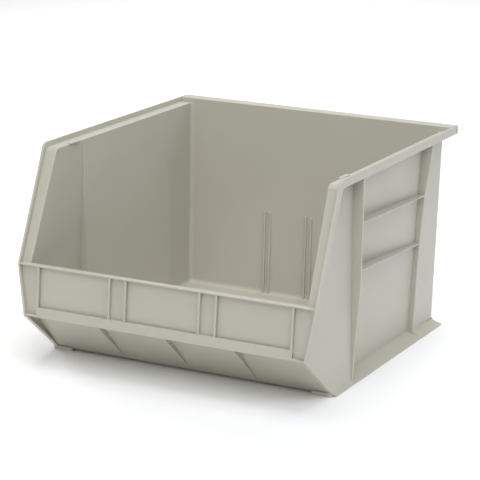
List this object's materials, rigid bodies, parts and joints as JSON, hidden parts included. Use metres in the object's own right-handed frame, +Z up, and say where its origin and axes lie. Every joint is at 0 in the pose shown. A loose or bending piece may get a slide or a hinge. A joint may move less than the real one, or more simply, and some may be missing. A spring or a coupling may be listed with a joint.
{
  "type": "stackable storage bin",
  "caption": "Hopper-front stacking storage bin with ledged rim, rear hanging lip, flared feet, ribbed sides, label windows and divider ribs.",
  "frame": {"origin": "on the floor line, in the middle of the bin's outer box", "axes": "+Y from the open hopper front to the rear hanging lip, +Z up, +X to the right as seen from the front"},
  "size_m": [0.419, 0.4572, 0.2794],
  "materials": {
    "bin_plastic": "satin moulded polypropylene, warm stone grey"
  },
  "bodies": {
    "root": {"floor_panel": "bin_plastic", "hopper_slope": "bin_plastic", "front_wall": "bin_plastic", "front_lip": "bin_plastic", "back_wall": "bin_plastic", "rear_cove": "bin_plastic", "left_side_wall": "bin_plastic", "right_side_wall": "bin_plastic", "left_foot_runner": "bin_plastic", "right_foot_runner": "bin_plastic", "left_top_rim": "bin_plastic", "right_top_rim": "bin_plastic", "left_front_flange": "bin_plastic", "right_front_flange": "bin_plastic", "left_nose_flange": "bin_plastic", "right_nose_flange": "bin_plastic", "left_front_panel": "bin_plastic", "right_front_panel": "bin_plastic", "left_rear_panel": "bin_plastic", "right_rear_panel": "bin_plastic", "rear_rim": "bin_plastic", "left_stacking_lug": "bin_plastic", "right_stacking_lug": "bin_plastic", "label_sill": "bin_plastic", "left_label_bars": "bin_plastic", "centre_label_bars": "bin_plastic", "right_label_bars": "bin_plastic", "left_gusset": "bin_plastic", "centre_gusset": "bin_plastic", "right_gusset": "bin_plastic", "left_front_rib": "bin_plastic", "right_front_rib": "bin_plastic", "left_rear_rib": "bin_plastic", "right_rear_rib": "bin_plastic", "left_upper_rail": "bin_plastic", "right_upper_rail": "bin_plastic", "left_lower_rail": "bin_plastic", "right_lower_rail": "bin_plastic", "left_divider_ribs": "bin_plastic", "centre_divider_ribs": "bin_plastic", "right_divider_ribs": "bin_plastic"}
  },
  "joints": []
}
